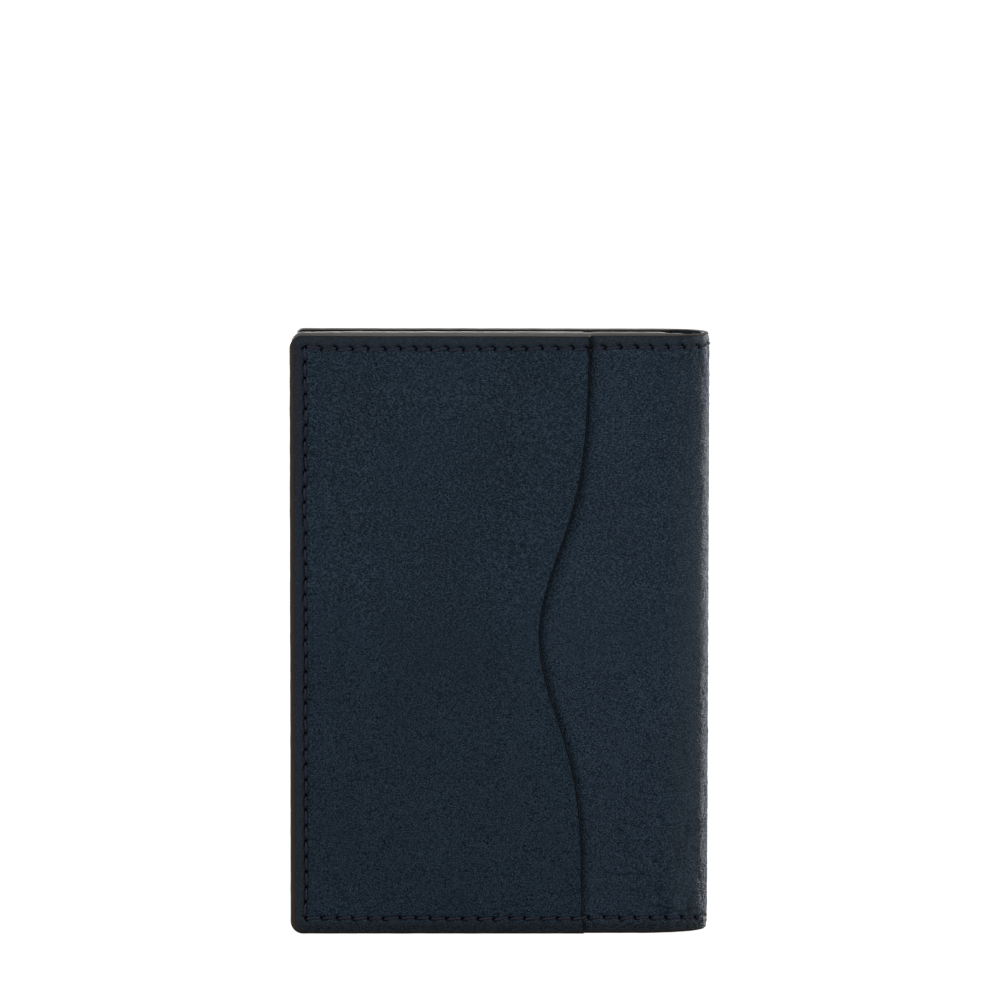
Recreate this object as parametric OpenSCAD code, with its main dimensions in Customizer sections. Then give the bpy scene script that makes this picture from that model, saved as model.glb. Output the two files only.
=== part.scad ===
// Bifold leather card holder: two leaves joined by a soft fold, five card slots, sewn all round.
// Frame: millimetres, +Z up, fold at +X, back leaf (with the outer pocket) at -Y.
// Origin: bottom centre of the closed holder.

/* [Closed size] */
// Width from the open side to the outside of the fold
closed_w = 71.5; // [70:0.5:80]
// Height
closed_h = 104; // [98:0.5:115]
// Radius of the two corners of each leaf at the open side
corner_r = 2; // [1:0.5:3]
// How far the front leaf falls short of the back leaf at the open side
front_short = 0.8; // [0:0.1:1.5]

/* [Leather] */
// Thickness of the cover
cover_t = 0.8; // [0.7:0.05:1.1]
// Thickness of the lining
lining_t = 0.4; // [0.35:0.05:0.6]
// Thickness of the inner pocket panels
panel_t = 0.5; // [0.45:0.05:0.7]
// Thickness of the outer pocket panel
pocket_t = 0.7; // [0.6:0.05:0.9]

/* [Card slots] */
// Thickness of the welts, which is the room in each slot for one card of 0.76
slot_gap = 0.8; // [0.8:0.05:1.2]
// Width of each welt, from the outside edge inwards
welt_w = 3.8; // [3.6:0.1:4.4]
// Gap between the two leaves when the holder is closed
leaf_gap = 0.4; // [0.2:0.1:1]

/* [Pocket mouths] */
// Outer pocket's mouth, from the open side
outer_mouth = 50.7; // [48:0.1:56]
// How far the outer mouth leans towards the fold, from bottom to top
outer_mouth_lean = 1.1; // [0:0.1:2]
// Inner card pockets' mouths, from the open side
card_mouth = 50; // [46:0.5:56]
// Inner slip pockets' mouths, from the open side
slip_mouth = 64; // [60:0.5:66]
// Depth of the scoop in the outer pocket's mouth and the card pockets' mouths
scoop_depth = 7.9; // [5:0.1:10]
// Half the scoop's height, measured where about two thirds of its depth is gone
scoop_half = 19.5; // [14:0.5:22]

/* [Stitching] */
// Distance from one needle hole to the next
stitch_pitch = 2.68; // [2.4:0.02:3.2]
// Length of thread seen in each stitch
stitch_len = 1.9; // [1.5:0.1:2.2]
// Thickness of the thread
thread_d = 0.34; // [0.26:0.02:0.36]
// Stitch line, from the top edge
top_inset = 2.1; // [1.9:0.1:2.6]
// Stitch line, from the side and bottom edges
side_inset = 2.7; // [2.2:0.1:3]

/* [Hidden] */

hinge_angle = 45;            // the fold is a half circle, cut at this angle each side of its middle
channel_w = 0.8;             // stitch channel, wide enough for the thread
channel_depth = 0.37;        // stitch channel, deep enough to sink the thread
thread_clear = 0.02;         // keeps each stitch off the channel's floor
cut = 0.01;                  // overshoot of a cutting tool past the face that it cuts
mouth_steps = 40;            // straight steps along a pocket's mouth
thread_sides = 8;            // flat sides round each stitch
$fn = 96;

// Distances from the middle plane between the two leaves, going outwards
card_in = leaf_gap / 2;
card_welt_in = card_in + panel_t;
slip_in = card_welt_in + slot_gap;
slip_welt_in = slip_in + panel_t;
lining_in = slip_welt_in + slot_gap;
cover_in = lining_in + lining_t;
fold_r = cover_in + cover_t;
pocket_in = fold_r + slot_gap;
holder_half = pocket_in + pocket_t;

// Places in the frame
left_x = -closed_w / 2;
front_left_x = left_x + front_short;
fold_x = closed_w / 2 - fold_r;
fold_y = (holder_half - fold_r) / 2;
stitch_top = closed_h - top_inset;
stitch_bottom = side_inset;
covered_w = outer_mouth + outer_mouth_lean / 2;

// ---- Shapes shared by the leaves ----

// Each leaf is drawn on the -Y side of the plane between the leaves, and the front one is mirrored.
module back_side() translate([0, fold_y, 0]) children();
module front_side() translate([0, fold_y, 0]) mirror([0, 1, 0]) children();

// A flat sheet: a 2D outline in X and Z, from one distance out from the middle plane to another.
module sheet(near, far)
    translate([0, -near, 0]) rotate([90, 0, 0]) linear_extrude(far - near) children();

// Leaf outline with round corners at its open side.
module leaf_outline(left, right) {
    translate([left, corner_r]) square([right - left, closed_h - 2 * corner_r]);
    translate([left + corner_r, 0]) square([right - left - corner_r, closed_h]);
    for (z = [corner_r, closed_h - corner_r]) translate([left + corner_r, z]) circle(corner_r);
}

// How far a mouth is scooped at a height dz from its middle: a bell curve.
function scoop(dz) = scoop_depth * exp(-pow(dz / scoop_half, 2));

// Pocket outline: a leaf outline that ends in a wavy mouth.
module pocket_outline(left, mouth, lean = 0) {
    middle = closed_h / 2;
    heights = [for (i = [0 : mouth_steps]) middle * (2 * i / mouth_steps - 1)];
    function mouth_x(dz) = left + mouth + lean * dz / closed_h - scoop(dz);
    intersection() {
        leaf_outline(left, left + mouth + lean);
        polygon(concat([for (dz = heights) [mouth_x(dz), middle + dz]], [[left, closed_h], [left, 0]]));
    }
}

// Welt outline: a strip along the three sewn sides of a slot.
module welt_outline(left, right) difference() {
    leaf_outline(left, right);
    translate([left + welt_w, welt_w]) square([right - left, closed_h - 2 * welt_w]);
}

// Sector of the fold, between two radii and two angles (0 is the outermost line, -90 the back leaf).
module fold_sector(r_in, r_out, from, to)
    translate([fold_x, 0, 0]) rotate([0, 0, from])
        rotate_extrude(angle = to - from) translate([r_in, 0]) square([r_out - r_in, closed_h]);

// One skin of a leaf, flat up to the fold and then round to the hinge line.
module leaf_skin(left, r_in, r_out) {
    sheet(r_in, r_out) leaf_outline(left, fold_x);
    fold_sector(r_in, r_out, -90, -hinge_angle);
}

// ---- Stitch channels and thread ----

// Channel along the top and bottom stitch lines, and down the open side if it is sewn there,
// from one distance out from the middle plane to another.
module channel(left, right, near, far, side = true) {
    start = side ? left + side_inset - channel_w / 2 : left;
    sheet(near, far) {
        for (z = [stitch_bottom, stitch_top])
            translate([start, z - channel_w / 2]) square([right - start, channel_w]);
        if (side) translate([start, stitch_bottom]) square([channel_w, stitch_top - stitch_bottom]);
    }
}

// The same channel round the fold, cut in from the outside between two angles.
module fold_channel(from, to)
    translate([fold_x, 0, 0]) rotate([0, 0, from]) for (z = [stitch_bottom, stitch_top])
        rotate_extrude(angle = to - from)
            translate([fold_r - channel_depth, z - channel_w / 2]) square([channel_depth + cut, channel_w]);

// One stitch, lying along X or Z, with its middle at the origin.
module stitch(upright = false)
    rotate(upright ? [0, 0, 0] : [0, 90, 0])
        cylinder(h = stitch_len, d = thread_d, center = true, $fn = thread_sides);

// Top and bottom stitches from one X to another, their middles at distance y.
module stitch_rows(from, to, y) {
    count = floor((to - from) / stitch_pitch);
    for (z = [stitch_bottom, stitch_top], i = [0 : count - 1])
        translate([from + (i + 0.5) * stitch_pitch, -y, z]) stitch();
}

// Stitches down a leaf's open side.
module stitch_side(left, y) {
    count = round((stitch_top - stitch_bottom) / stitch_pitch);
    step = (stitch_top - stitch_bottom) / count;
    for (i = [0 : count - 1])
        translate([left + side_inset, -y, stitch_bottom + (i + 0.5) * step]) stitch(upright = true);
}

// Top and bottom stitches round the fold at the given angles.
module stitch_fold(angles)
    for (z = [stitch_bottom, stitch_top], a = angles)
        translate([fold_x, 0, z]) rotate([0, 0, a])
            translate([outside_thread(fold_r), 0, 0]) rotate([0, 0, 90]) stitch();

// Middle of a thread sunk in a channel, in a face that looks outwards or inwards.
function outside_thread(face) = face - channel_depth + thread_d / 2 + thread_clear;
function inside_thread(face) = face + channel_depth - thread_d / 2 - thread_clear;

// All the stitches of one leaf. An outer pocket covers the cover's outside for the width given.
module leaf_thread(left, covered = 0) {
    first = left + side_inset;
    outside = covered > 0 ? holder_half : fold_r;
    stitch_side(left, outside_thread(outside));
    if (covered > 0) {
        stitch_rows(first, left + covered - channel_w, outside_thread(outside));
        stitch_rows(left + covered + channel_w, fold_x, outside_thread(fold_r));
    } else {
        stitch_rows(first, fold_x, outside_thread(fold_r));
    }
    stitch_fold([-(90 + hinge_angle) / 2]);
    stitch_side(left, inside_thread(card_in));
    stitch_rows(first, left + card_mouth - channel_w, inside_thread(card_in));
    stitch_rows(left + card_mouth + channel_w, left + slip_mouth - channel_w, inside_thread(slip_in));
}

// ---- Pieces that both leaves have ----

// Half of the cover. Where an outer pocket covers it, the pocket holds the channel instead.
module cover_half(left, covered = 0) difference() {
    leaf_skin(left, cover_in, fold_r);
    channel(left + covered, fold_x, fold_r - channel_depth, fold_r + cut, side = covered == 0);
    fold_channel(-90, -hinge_angle);
}

module lining_half(left) leaf_skin(left, lining_in, cover_in);

module slip_welt(left) sheet(slip_welt_in, lining_in) welt_outline(left, left + slip_mouth);

module slip_pocket(left) difference() {
    sheet(slip_in, slip_welt_in) leaf_outline(left, left + slip_mouth);
    channel(left + card_mouth, left + slip_mouth + cut, slip_in - cut, slip_in + channel_depth, side = false);
}

module card_welt(left) sheet(card_welt_in, slip_in) welt_outline(left, left + card_mouth);

module card_pocket(left) difference() {
    sheet(card_in, card_welt_in) pocket_outline(left, card_mouth);
    channel(left, left + card_mouth + cut, card_in - cut, card_in + channel_depth);
}

// ---- Nodes ----

module outer_pocket() color("#1d2933") back_side() difference() {
    sheet(pocket_in, holder_half) pocket_outline(left_x, outer_mouth, outer_mouth_lean);
    channel(left_x, left_x + covered_w + cut, holder_half - channel_depth, holder_half + cut);
}

module outer_pocket_welt() color("#262222") back_side()
    sheet(fold_r, pocket_in) welt_outline(left_x, left_x + outer_mouth - outer_mouth_lean / 2);

module back_cover() color("#202d38") back_side() cover_half(left_x, covered_w);
module back_lining() color("#26323c") back_side() lining_half(left_x);
module back_slip_welt() color("#262222") back_side() slip_welt(left_x);
module back_slip_pocket() color("#202d38") back_side() slip_pocket(left_x);
module back_card_welt() color("#262222") back_side() card_welt(left_x);
module back_card_pocket() color("#1d2933") back_side() card_pocket(left_x);
module back_thread() color("#2b2538") back_side() leaf_thread(left_x, covered_w);

module spine_cover() color("#202d38") back_side() difference() {
    fold_sector(cover_in, fold_r, -hinge_angle, hinge_angle);
    fold_channel(-hinge_angle, hinge_angle);
}

module spine_lining() color("#26323c") back_side()
    fold_sector(lining_in, cover_in, -hinge_angle, hinge_angle);

module spine_thread() color("#2b2538") back_side() stitch_fold([-hinge_angle / 2, hinge_angle / 2]);

module front_cover() color("#202d38") front_side() cover_half(front_left_x);
module front_lining() color("#26323c") front_side() lining_half(front_left_x);
module front_slip_welt() color("#262222") front_side() slip_welt(front_left_x);
module front_slip_pocket() color("#202d38") front_side() slip_pocket(front_left_x);
module front_card_welt() color("#262222") front_side() card_welt(front_left_x);
module front_card_pocket() color("#1d2933") front_side() card_pocket(front_left_x);
module front_thread() color("#2b2538") front_side() leaf_thread(front_left_x);

outer_pocket();
outer_pocket_welt();
back_cover();
back_lining();
back_slip_welt();
back_slip_pocket();
back_card_welt();
back_card_pocket();
back_thread();
spine_cover();
spine_lining();
spine_thread();
front_cover();
front_lining();
front_slip_welt();
front_slip_pocket();
front_card_welt();
front_card_pocket();
front_thread();
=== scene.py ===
"""The looks of a bifold leather card holder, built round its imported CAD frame.

Leather pieces are made on flat hide coordinates: s runs along the width from a leaf's open side and
on round the fold, z is the height, and depth is the distance outwards from the plane between the leaves.
"""

import math

import bpy
import numpy as np
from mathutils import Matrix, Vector


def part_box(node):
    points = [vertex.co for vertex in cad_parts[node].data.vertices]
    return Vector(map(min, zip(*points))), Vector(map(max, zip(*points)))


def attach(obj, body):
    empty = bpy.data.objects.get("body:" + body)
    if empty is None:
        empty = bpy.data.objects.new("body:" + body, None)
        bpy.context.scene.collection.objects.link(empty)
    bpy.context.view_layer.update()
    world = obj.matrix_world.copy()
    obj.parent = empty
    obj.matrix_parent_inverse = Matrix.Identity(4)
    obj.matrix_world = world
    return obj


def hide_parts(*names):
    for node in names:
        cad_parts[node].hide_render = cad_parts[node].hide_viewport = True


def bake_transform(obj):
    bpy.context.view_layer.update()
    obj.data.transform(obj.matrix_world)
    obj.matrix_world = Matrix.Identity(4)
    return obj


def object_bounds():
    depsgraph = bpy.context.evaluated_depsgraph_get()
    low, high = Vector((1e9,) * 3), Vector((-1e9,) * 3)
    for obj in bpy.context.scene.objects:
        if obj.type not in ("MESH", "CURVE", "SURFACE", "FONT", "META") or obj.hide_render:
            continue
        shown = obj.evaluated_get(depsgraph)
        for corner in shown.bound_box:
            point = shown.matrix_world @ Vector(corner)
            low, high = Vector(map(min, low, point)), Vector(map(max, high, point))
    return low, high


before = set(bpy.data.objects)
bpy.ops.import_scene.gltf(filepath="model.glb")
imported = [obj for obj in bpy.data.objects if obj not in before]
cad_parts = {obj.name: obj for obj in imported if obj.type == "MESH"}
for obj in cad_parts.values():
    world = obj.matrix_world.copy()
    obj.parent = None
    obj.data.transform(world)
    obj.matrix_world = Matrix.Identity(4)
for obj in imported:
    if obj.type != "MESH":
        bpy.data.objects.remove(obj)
cad_low, cad_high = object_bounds()

MM = 0.001

# ---- Places, from the frame ----


def low(node):
    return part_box(node)[0]


def high(node):
    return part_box(node)[1]


HEIGHT = high("back_cover")[2]
FOLD_R = (high("front_cover")[1] - low("back_cover")[1]) / 2
FOLD_Y = (high("front_cover")[1] + low("back_cover")[1]) / 2
FOLD_X = high("spine_cover")[0] - FOLD_R
FOLD_ARC = FOLD_R * math.pi / 2          # from a leaf's flat part round to the fold's middle

POCKET_OUT = FOLD_Y - low("outer_pocket")[1]
POCKET_T = high("outer_pocket")[1] - low("outer_pocket")[1]
COVER_IN = FOLD_Y - low("back_lining")[1]
LINING_IN = FOLD_Y - low("back_slip_welt")[1]
SLIP_OUT = FOLD_Y - low("back_slip_pocket")[1]
SLIP_IN = FOLD_Y - high("back_slip_pocket")[1]
CARD_OUT = FOLD_Y - low("back_card_pocket")[1]
CARD_IN = FOLD_Y - high("back_card_pocket")[1]

BACK, FRONT = -1, 1                      # which side of the middle plane a leaf is on
CORNER_R = {BACK: 1.8 * MM, FRONT: 1.1 * MM}
LEFT = {BACK: low("back_cover")[0], FRONT: low("front_cover")[0]}
FLAT = {side: FOLD_X - LEFT[side] for side in (BACK, FRONT)}
FOLD_MIDDLE = {side: FLAT[side] + FOLD_ARC for side in (BACK, FRONT)}
SLIP_MOUTH = high("back_slip_pocket")[0] - low("back_slip_pocket")[0]
CARD_MOUTH = high("back_card_pocket")[0] - low("back_card_pocket")[0]
OUTER_MOUTH = high("outer_pocket")[0] - low("outer_pocket")[0]

# ---- Sewing and edges ----

EDGE_BULGE = 0.40 * MM                   # how far an edge's paint stands out past the leather
COLUMN = 2.64 * MM                       # stitch line from the open side
BOTTOM_ROW = 2.66 * MM
TOP_ROW = HEIGHT - 2.58 * MM
PITCH = 2.68 * MM
THREAD_R = 0.138 * MM
GROOVE_DEEP, GROOVE_WIDE = 0.11 * MM, 0.42 * MM
MARGIN_FALL = 0.20 * MM                  # how far a face falls away from the stitches to the edge
SLIT_LONG, SLIT_WIDE, SLIT_DEEP = 0.66 * MM, 0.28 * MM, 0.42 * MM
PULL_WIDE, PULL_DEEP = 0.85 * MM, 0.07 * MM      # the dimple that the thread pulls round a slit
HOLE_WANDER, SLIT_WANDER = 0.07 * MM, 7  # how unevenly the slits lie, and turn in degrees
LEAVE, ENTER = 0.08 * MM, 0.46 * MM      # where the thread leaves one slit and enters the next
STITCH_SUNK, STITCH_ARCH = 0.30 * MM, 0.40 * MM
PLIES, PLY_LAY = 3, 1.1 * MM             # the thread's strands, and the length of one twist
FILM = 0.035 * MM                        # thickness of edge paint where it laps on to a face

# Mouths: how far the outer one leans, how deep and half how high a scoop is, how far the outer
# mouth draws back towards its middle besides the scoop, and its small step below the stitches.
MOUTH_LEAN = 1.25 * MM
SCOOP_DEEP, SCOOP_HALF = 7.9 * MM, 19.5 * MM
MOUTH_DRAW, MOUTH_STEP = 0.5 * MM, 0.25 * MM

# Faces where they are sewn down, as distances from the middle plane
POCKET_SEAM = FOLD_R + POCKET_T + 0.4 * MM
POCKET_PRESSED = 0.5 * MM                # how much lower that is at the bottom and the open side
CARD_SEAM_IN = {BACK: CARD_IN + 0.15 * MM, FRONT: CARD_IN + 1.2 * MM}
SLIP_SEAM_IN = {BACK: SLIP_IN + 0.10 * MM, FRONT: SLIP_IN + 0.45 * MM}
FRONT_TOP_IN = 2.3 * MM                  # the front leaf's top edge: cover and lining only
PRESS_REACH = 13 * MM                    # how far from the open side the leaf is pressed thinner

# The top edge: its rise half way across its thickness, its fall towards the outside (which is a
# rise where it is negative), its drop below full height half way along, and its fall to the fold.
CROWN = {BACK: 0.13 * MM, FRONT: 0.0}
TOP_FALL = {BACK: 0.20 * MM, FRONT: -0.04 * MM}
TOP_CUT = {BACK: 0.15 * MM, FRONT: 0.24 * MM}
TOP_DROOP = 0.12 * MM
FOLD_LIFT = 0.30 * MM                    # how far the fold draws the bottom edge up
FOLD_LEAN = 0.25 * MM                    # how much fuller the fold is at the top than at the bottom


def smooth(t):
    t = np.clip(t, 0.0, 1.0)
    return t * t * (3 - 2 * t)


def noise(u, v, seed):
    """Gradient noise at u, v, from about -1 to 1, the same on every run."""
    size = 64
    angles = np.random.default_rng(seed).uniform(0, 2 * np.pi, (size, size))
    ui, vi = np.floor(u).astype(int), np.floor(v).astype(int)
    uf, vf = u - ui, v - vi

    def corner(du, dv):
        a = angles[(ui + du) % size, (vi + dv) % size]
        return np.cos(a) * (uf - du) + np.sin(a) * (vf - dv)

    su, sv = smooth(uf), smooth(vf)
    near = corner(0, 0) * (1 - su) + corner(1, 0) * su
    far = corner(0, 1) * (1 - su) + corner(1, 1) * su
    return 1.4 * (near * (1 - sv) + far * sv)


def scoop(z):
    """How far a mouth is cut back at a height, as a share of the scoop's depth: a bell curve."""
    return np.exp(-(((z - HEIGHT / 2) / SCOOP_HALF) ** 2))


def outer_mouth(z):
    lean = MOUTH_LEAN * (z / HEIGHT - 1)
    draw = MOUTH_DRAW * smooth(1 - np.abs(z - HEIGHT / 2) / (HEIGHT / 2))
    draw -= MOUTH_STEP * smooth((BOTTOM_ROW + 0.3 * MM - z) / (0.5 * MM))
    return OUTER_MOUTH + lean - draw - (SCOOP_DEEP - MOUTH_DRAW) * scoop(z)


def card_mouth(z):
    return CARD_MOUTH - SCOOP_DEEP * scoop(z)


def slip_mouth(z):
    return SLIP_MOUTH + 0 * z


def bottom_edge(s, side):
    start = FLAT[side] - 9 * MM
    return EDGE_BULGE + FOLD_LIFT * smooth((s - start) / (FOLD_MIDDLE[side] - start)) ** 1.3


def top_edge(s, side):
    return HEIGHT - EDGE_BULGE - TOP_CUT[side] + TOP_DROOP * (0.5 - s / FOLD_MIDDLE[side])


def on_hide(s, z, depth, side):
    """Points in the row frame from hide coordinates."""
    theta = np.maximum(s - FLAT[side], 0) / FOLD_R
    flat_x = LEFT[side] + np.minimum(s, FLAT[side])
    x = flat_x + (depth + FOLD_LEAN * (z / HEIGHT - 0.5)) * np.sin(theta)
    y = FOLD_Y + side * depth * np.cos(theta)
    return np.stack(np.broadcast_arrays(x, y, z), -1)


# ---- Seams: needle holes and stitches ----


def spaced(first, last):
    """Needle holes from first to last, as near the pitch as a whole number of stitches allows."""
    return np.linspace(first, last, max(2, round(abs(last - first) / PITCH) + 1))


class Seam:
    """Needle holes in order round a leaf: from the fold along the top, down, and back to the fold."""

    def __init__(self, side, mouth):
        row = list(spaced(COLUMN, mouth))
        while row[-1] + PITCH < FOLD_MIDDLE[side] - 0.4 * PITCH:
            row.append(row[-1] + PITCH)
        self.row = np.array(row)
        self.column = spaced(BOTTOM_ROW, TOP_ROW)
        jitter = np.random.default_rng(7 + side)
        top = [(s, TOP_ROW, -50) for s in self.row[::-1][:-1]]
        corner_top = [(COLUMN, TOP_ROW, 40)]
        down = [(COLUMN, z, 72) for z in self.column[::-1][1:-1]]
        corner_bottom = [(COLUMN, BOTTOM_ROW, -62)]
        bottom = [(s, BOTTOM_ROW, -35) for s in self.row[1:]]
        self.holes = []
        for s, z, angle in top + corner_top + down + corner_bottom + bottom:
            ds, dz = jitter.normal(0, HOLE_WANDER, 2)
            turn = math.radians(angle + jitter.normal(0, SLIT_WANDER))
            self.holes.append((s + ds, z + dz, math.cos(turn), math.sin(turn)))

    def dips(self, s, z, keep=None):
        """Depth lost to slits and pulls at each point, and the painted shade in the slits."""
        lost, dark = np.zeros_like(s), np.zeros_like(s)
        for hs, hz, cs, cz in self.holes:
            if keep is not None and not keep(hs, hz):
                continue
            du, dv = s - hs, z - hz
            along, across = du * cs + dv * cz, dv * cs - du * cz
            slit = np.exp(-(((along / SLIT_LONG) ** 2 + (across / SLIT_WIDE) ** 2) ** 1.5))
            pull = np.exp(-(du * du + dv * dv) / PULL_WIDE**2)
            lost += SLIT_DEEP * slit + PULL_DEEP * pull
            dark = np.maximum(dark, slit)
        return lost, dark


def seam_groove(s, z, column=True):
    """A shallow channel that the stitches lie in."""
    def channel(distance):
        return np.exp(-((distance / GROOVE_WIDE) ** 2))

    line = channel(z - TOP_ROW) + channel(z - BOTTOM_ROW)
    if column:
        line = line * (s > COLUMN) + channel(s - COLUMN) * (z < TOP_ROW) * (z > BOTTOM_ROW)
    return GROOVE_DEEP * line


def margin_slope(s, z, column=True):
    """How far the face falls away outside the stitch line, towards the painted edge."""
    out = np.maximum(smooth((BOTTOM_ROW - z) / BOTTOM_ROW), smooth((z - TOP_ROW) / (HEIGHT - TOP_ROW)))
    if column:
        out = np.maximum(out, smooth((COLUMN - s) / COLUMN))
    return MARGIN_FALL * out


SEAM = {BACK: Seam(BACK, OUTER_MOUTH - 0.2 * MM), FRONT: Seam(FRONT, CARD_MOUTH + 1.2 * MM)}

# ---- Faces: depth of each visible surface at s and z ----


def inside_seam(s, z, reach, column=True):
    """0 on the stitch line and outside it, rising to 1 at a distance inside it."""
    rise = smooth((TOP_ROW - z) / reach) * smooth((z - BOTTOM_ROW) / reach)
    return rise * smooth((s - COLUMN) / reach) if column else rise


def pressed(s):
    """1 at the open side, where the leaf is pressed thinner, and 0 further in."""
    return smooth(1 - s / PRESS_REACH)


def pocket_face(s, z):
    near_mouth = smooth((s - 30 * MM) / (18 * MM))
    pillow = inside_seam(s, z, 15 * MM) * (1 - 0.55 * near_mouth)
    waves = 0.05 * MM * noise(s / (13 * MM), z / (17 * MM), 3) * inside_seam(s, z, 8 * MM)
    seam = POCKET_SEAM - POCKET_PRESSED * np.maximum(smooth(1 - z / (0.8 * HEIGHT)), pressed(s))
    return seam + (POCKET_OUT - seam) * pillow + waves - margin_slope(s, z) - seam_groove(s, z)


def creases(s, z, side):
    """Wrinkles where the cover bends into the fold, strongest near the ends of the fold."""
    near = smooth((s - FLAT[side] + 12 * MM) / (13 * MM))
    ends = 0.25 + 0.75 * np.maximum(smooth(1 - z / (26 * MM)), 0.5 * smooth(1 - (HEIGHT - z) / (16 * MM)))
    bend = 0.5 * noise(s / (5 * MM), z / (9 * MM), 11)
    fine = 1 - np.abs(noise(s / (1.7 * MM) + bend, z / (3.6 * MM), 12))
    long = 1 - np.abs(noise(s / (3.2 * MM) + bend, z / (14 * MM), 13))
    return near * ends * (0.10 * MM * smooth((fine - 0.72) / 0.28) + 0.09 * MM * smooth((long - 0.8) / 0.2))


def crumple(s, z, side):
    """Small lumps where the grain is stretched round the fold."""
    near = smooth((s - FLAT[side] + 0.5 * MM) / (3 * MM))
    near = near * smooth((z - 0.8 * MM) / MM) * smooth((HEIGHT - 0.8 * MM - z) / MM)
    small = noise(s / (0.62 * MM), z / (0.7 * MM), 41)
    large = noise(s / (1.5 * MM), z / (1.2 * MM), 42)
    return near * MM * (0.04 + 0.07 * small + 0.05 * large)


def cover_face(s, z, side, column):
    waves = 0.05 * MM * noise(s / (12 * MM), z / (15 * MM), 5 + side) * inside_seam(s, z, 8 * MM, False)
    slope = margin_slope(s, z, column) + seam_groove(s, z, column)
    return FOLD_R + waves - slope - creases(s, z, side) + crumple(s, z, side)


def outside_face(s, z, side):
    if side == FRONT:
        return cover_face(s, z, side, True)
    return np.where(s < outer_mouth(z) + 0.1 * MM, pocket_face(s, z), cover_face(s, z, side, False))


def card_face(s, z, side):
    seam = CARD_SEAM_IN[side] + (side == BACK) * 0.95 * MM * pressed(s)
    return seam + (CARD_IN - seam) * inside_seam(s, z, 14 * MM) + margin_slope(s, z) + seam_groove(s, z)


def slip_face(s, z, side):
    seam = SLIP_SEAM_IN[side]
    if side == BACK:
        past_card_pocket = smooth((s - CARD_MOUTH - 0.5 * MM) / (2.5 * MM))
        seam = seam + 0.35 * MM * pressed(s) - 0.75 * MM * past_card_pocket
    return seam + (SLIP_IN - seam) * inside_seam(s, z, 14 * MM) + seam_groove(s, z, False)


def lining_face(s, z, side):
    """The back leaf's lining is padded along its sewn edges, between the slip pocket and the bend."""
    padded = 0.5 * smooth((s - SLIP_MOUTH + 4 * MM) / (3 * MM))
    padded += 0.5 * smooth((s - SLIP_MOUTH - 0.3 * MM) / (2.5 * MM))
    padded *= smooth((FLAT[side] + 1 * MM - s) / (5 * MM))
    padded = (side == BACK) * padded * (1 - inside_seam(s, z, 9 * MM, False))
    return LINING_IN - 1.9 * MM * padded + 0.5 * seam_groove(s, z, False)


def inside_face(s, z, side):
    face = np.where(s < card_mouth(z) + 0.1 * MM, card_face(s, z, side), slip_face(s, z, side))
    return np.where(s < SLIP_MOUTH + 0.1 * MM, face, lining_face(s, z, side))


# ---- Mesh building ----


def new_mesh(name, points, faces, hide, dark, sharp=38):
    mesh = bpy.data.meshes.new(name)
    mesh.from_pydata([tuple(p) for p in points], [], [tuple(f) for f in faces])
    mesh.update()
    mesh.shade_smooth()
    mesh.set_sharp_from_angle(angle=math.radians(sharp))
    where = mesh.attributes.new("hide", "FLOAT_VECTOR", "POINT")
    where.data.foreach_set("vector", np.asarray(hide, np.float32).ravel())
    shade = mesh.attributes.new("dark", "FLOAT", "POINT")
    shade.data.foreach_set("value", np.asarray(dark, np.float32).ravel())
    piece = bpy.data.objects.new(name, mesh)
    bpy.context.scene.collection.objects.link(piece)
    return piece


def grid_faces(rows, columns, start=0):
    i, j = np.meshgrid(np.arange(rows - 1), np.arange(columns - 1), indexing="ij")
    a = (start + i * columns + j).ravel()
    return np.stack([a, a + columns, a + columns + 1, a + 1], -1)


def rim_faces(outer, inner):
    """Faces from a loop of the outer skin to the same loop of the inner skin."""
    return np.stack([outer[:-1], inner[:-1], inner[1:], outer[1:]], -1)


def shell(name, s, z, outer, inner, side, dark):
    """A closed leather piece between two skins, on a grid in s and z. Dark is a pair, one for each skin."""
    rows, columns = s.shape
    count = rows * columns
    points = np.concatenate([on_hide(s, z, d, side).reshape(-1, 3) for d in (outer, inner)])
    hide = np.concatenate([np.stack([s, z, d], -1).reshape(-1, 3) for d in (outer, inner)])
    index = np.arange(count).reshape(rows, columns)
    loops = [index[:, 0], index[::-1, -1], index[0, ::-1], index[-1, :]]
    skins = [grid_faces(rows, columns), grid_faces(rows, columns, count)[:, ::-1]]
    faces = np.concatenate(skins + [rim_faces(loop, loop + count) for loop in loops])
    if side == FRONT:
        faces = faces[:, ::-1]
    return new_mesh(name, points, faces, hide, np.concatenate([d.ravel() for d in dark]))


def grid_lines(first, last, wanted, spacing):
    """Grid positions from first to last: through the wanted ones, and never further apart than spacing."""
    wanted = sorted([first, last] + [c for c in wanted if first < c < last])
    lines = [wanted[0]]
    for w in wanted[1:]:
        gap = w - lines[-1]
        if gap < 0.06 * MM and w != last:
            continue
        steps = max(1, math.ceil(gap / spacing))
        base = lines[-1]
        lines += [base + gap * k / steps for k in range(1, steps + 1)]
    return np.array(lines)


NEEDLE_LINES = np.array([-0.5, -0.25, -0.08, 0.08, 0.25, 0.5]) * MM
ROW_LINES = np.array([-0.9, -0.6, -0.42, -0.28, -0.14, 0, 0.14, 0.28, 0.42, 0.6, 0.9]) * MM


def drawn_in(gap, amount):
    """How far a point moves in, at a gap from an edge that moves in by an amount."""
    reach = 2.6 * MM + 6 * MM * smooth((amount - 0.8 * MM) / (0.8 * MM))
    return amount * np.clip(1 - gap / reach, 0, 1) ** 1.5


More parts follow.
